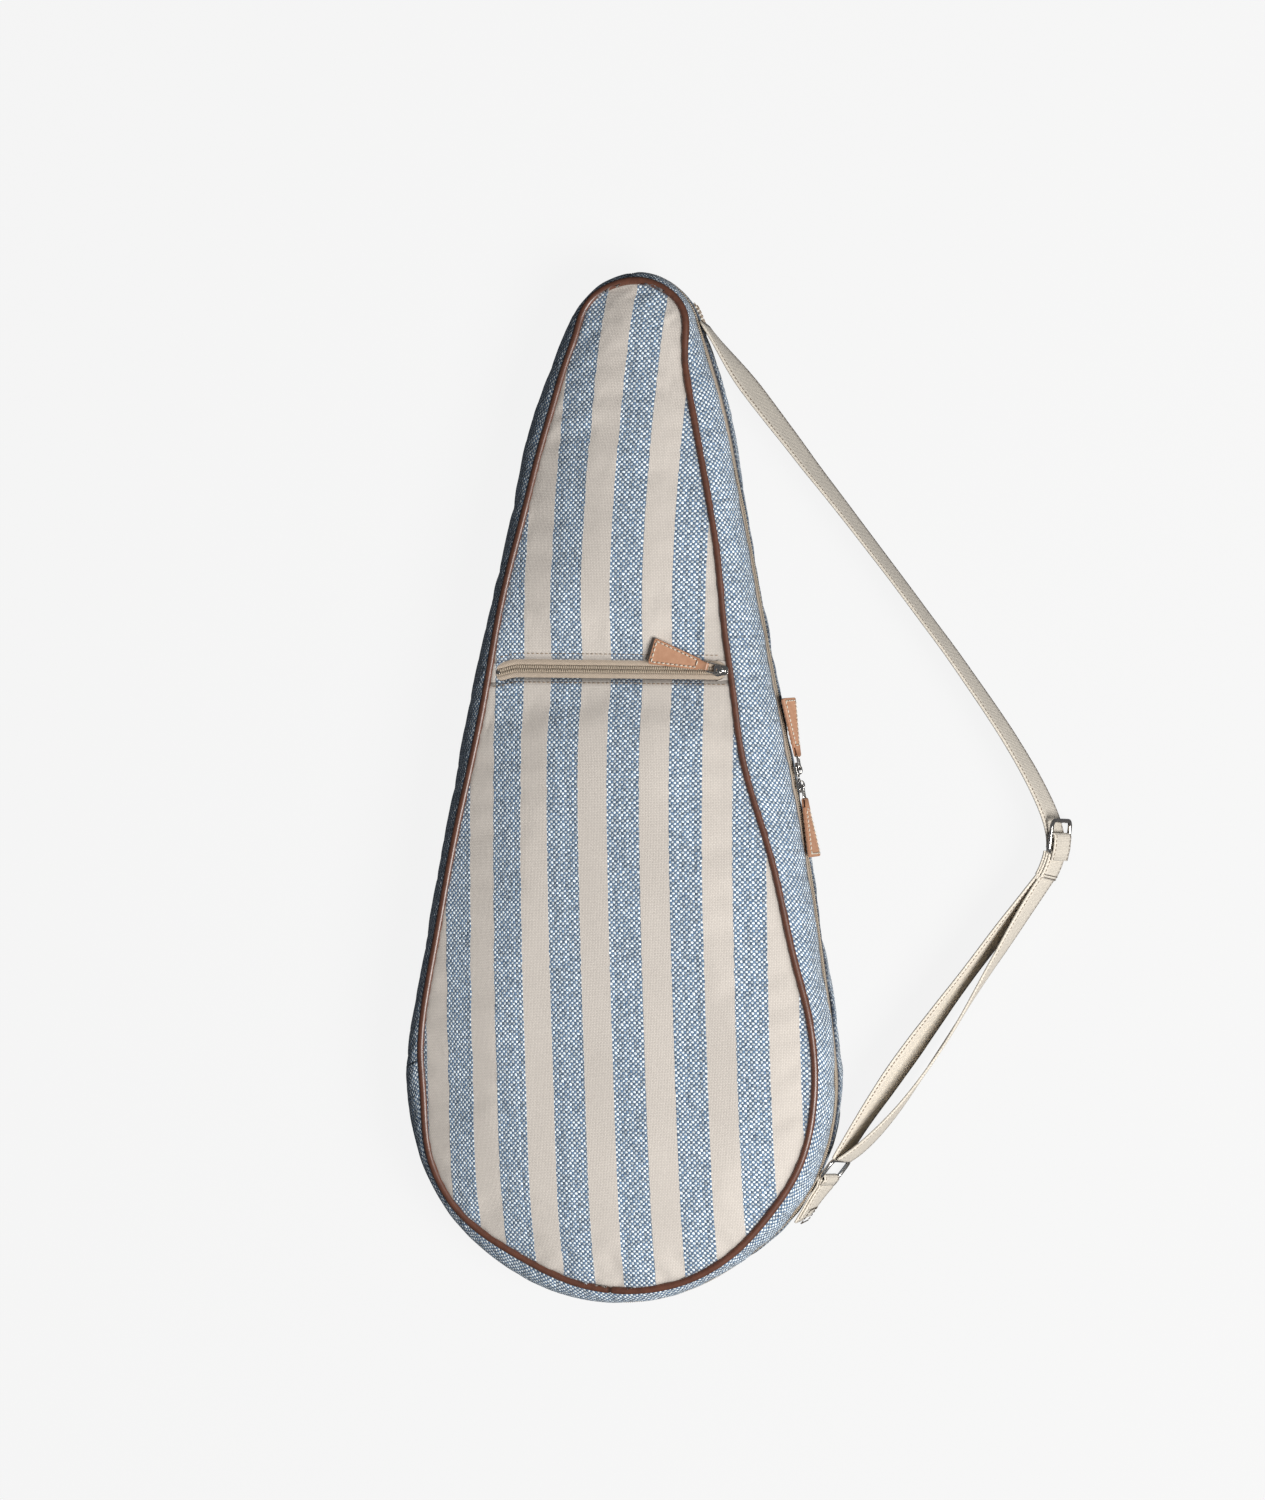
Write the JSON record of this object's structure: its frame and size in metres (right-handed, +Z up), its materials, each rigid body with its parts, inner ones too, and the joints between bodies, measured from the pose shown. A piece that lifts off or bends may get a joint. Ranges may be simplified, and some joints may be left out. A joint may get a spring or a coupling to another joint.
{
  "type": "racket cover",
  "caption": "Teardrop racket cover in striped canvas with a deep zipped gusset, leather piping, front zip pocket and a webbing shoulder strap.",
  "frame": {"origin": "on the flat underside of the back panel, under the middle of the cover's length and width", "axes": "+Z up out of the striped front, +Y along the cover towards the narrow grip end, +X across the cover towards the strap and the zip"},
  "size_m": [0.4712, 0.7396, 0.0793],
  "materials": {
    "striped_canvas": "woven canvas in blue and cream stripes",
    "blue_canvas": "basket weave canvas in blue and white threads",
    "tan_leather": "smooth, stitched",
    "zip_tape": "woven tape",
    "zip_coil": "nylon coil",
    "nickel": "polished nickel",
    "cotton_webbing": "woven webbing",
    "lining": "plain weave"
  },
  "bodies": {
    "shell": {"back_panel": "striped_canvas", "back_lining": "lining", "back_piping": "tan_leather", "gusset_back": "blue_canvas", "main_zip_tape_back": "zip_tape", "main_zip_coil_back": "zip_coil", "main_zip_stop_back_tip": "nickel", "main_zip_stop_back_head": "nickel", "strap_anchor": "cotton_webbing", "ring_tab": "cotton_webbing"},
    "cover": {"front_panel_upper": "striped_canvas", "front_panel_lower": "striped_canvas", "front_lining": "lining", "front_piping": "tan_leather", "gusset_front": "blue_canvas", "main_zip_tape_front": "zip_tape", "main_zip_coil_front": "zip_coil", "main_zip_stop_front_tip": "nickel", "main_zip_stop_front_head": "nickel", "pocket_zip_tape_upper": "zip_tape", "pocket_zip_tape_lower": "zip_tape", "pocket_zip_coil_upper": "zip_coil", "pocket_zip_coil_lower": "zip_coil", "pocket_zip_stop_left": "nickel", "pocket_zip_stop_right": "nickel", "pocket_pouch": "lining"},
    "slider_upper": {"main_zip_slider_upper": "nickel"},
    "pull_upper": {"main_zip_upper_ring": "nickel", "main_zip_upper_puller": "tan_leather"},
    "slider_lower": {"main_zip_slider_lower": "nickel"},
    "pull_lower": {"main_zip_lower_ring": "nickel", "main_zip_lower_puller": "tan_leather"},
    "pocket_slider": {"pocket_zip_slider": "nickel"},
    "pocket_pull": {"pocket_zip_ring": "nickel", "pocket_zip_puller": "tan_leather"},
    "strap": {"strap_upper": "cotton_webbing", "strap_buckle_frame": "nickel", "strap_buckle_bar": "nickel", "strap_fold": "cotton_webbing", "strap_lower_inner": "cotton_webbing", "strap_lower_outer": "cotton_webbing", "strap_ring": "nickel"}
  },
  "joints": [
    {"name": "cover_open", "type": "hinge", "parent": "shell", "child": "cover", "pos_m": [-0.11227, 0.0726, 0.036], "axis": [-0.2016, -0.9795, 0], "range_deg": [0, 25]},
    {"name": "main_slider_upper_run", "type": "hinge", "parent": "shell", "child": "slider_upper", "pos_m": [-3.11999, -0.59258, 0.036], "axis": [0, 0, 1], "range_deg": [0, 4]},
    {"name": "main_slider_lower_run", "type": "hinge", "parent": "shell", "child": "slider_lower", "pos_m": [-3.11999, -0.59258, 0.036], "axis": [0, 0, -1], "range_deg": [0, 2.4]},
    {"name": "main_puller_upper_swing", "type": "hinge", "parent": "slider_upper", "child": "pull_upper", "pos_m": [0.12687, 0.01505, 0.036], "axis": [0, 0, -1], "range_deg": [0, 80]},
    {"name": "main_puller_lower_swing", "type": "hinge", "parent": "slider_lower", "child": "pull_lower", "pos_m": [0.12889, 0.00413, 0.036], "axis": [0, 0, 1], "range_deg": [0, 80]},
    {"name": "pocket_slider_run", "type": "slide", "parent": "cover", "child": "pocket_slider", "axis": [-1, 0, 0], "range_m": [0, 0.145]},
    {"name": "pocket_puller_swing", "type": "hinge", "parent": "pocket_slider", "child": "pocket_pull", "pos_m": [0.07644, 0.084, 0.07383], "axis": [0.2588, 0.9659, 0], "range_deg": [0, 140]},
    {"name": "strap_swing", "type": "hinge", "parent": "shell", "child": "strap", "pos_m": [0.04889, 0.33375, 0.038], "axis": [0.1609, -0.987, 0], "range_deg": [0, 55], "deforming": ["ring_tab"]}
  ],
  "couplings": [
    {"joint": "main_slider_upper_run", "follows": "cover_open", "ratio": 0.16},
    {"joint": "main_slider_lower_run", "follows": "cover_open", "ratio": 0.096}
  ]
}
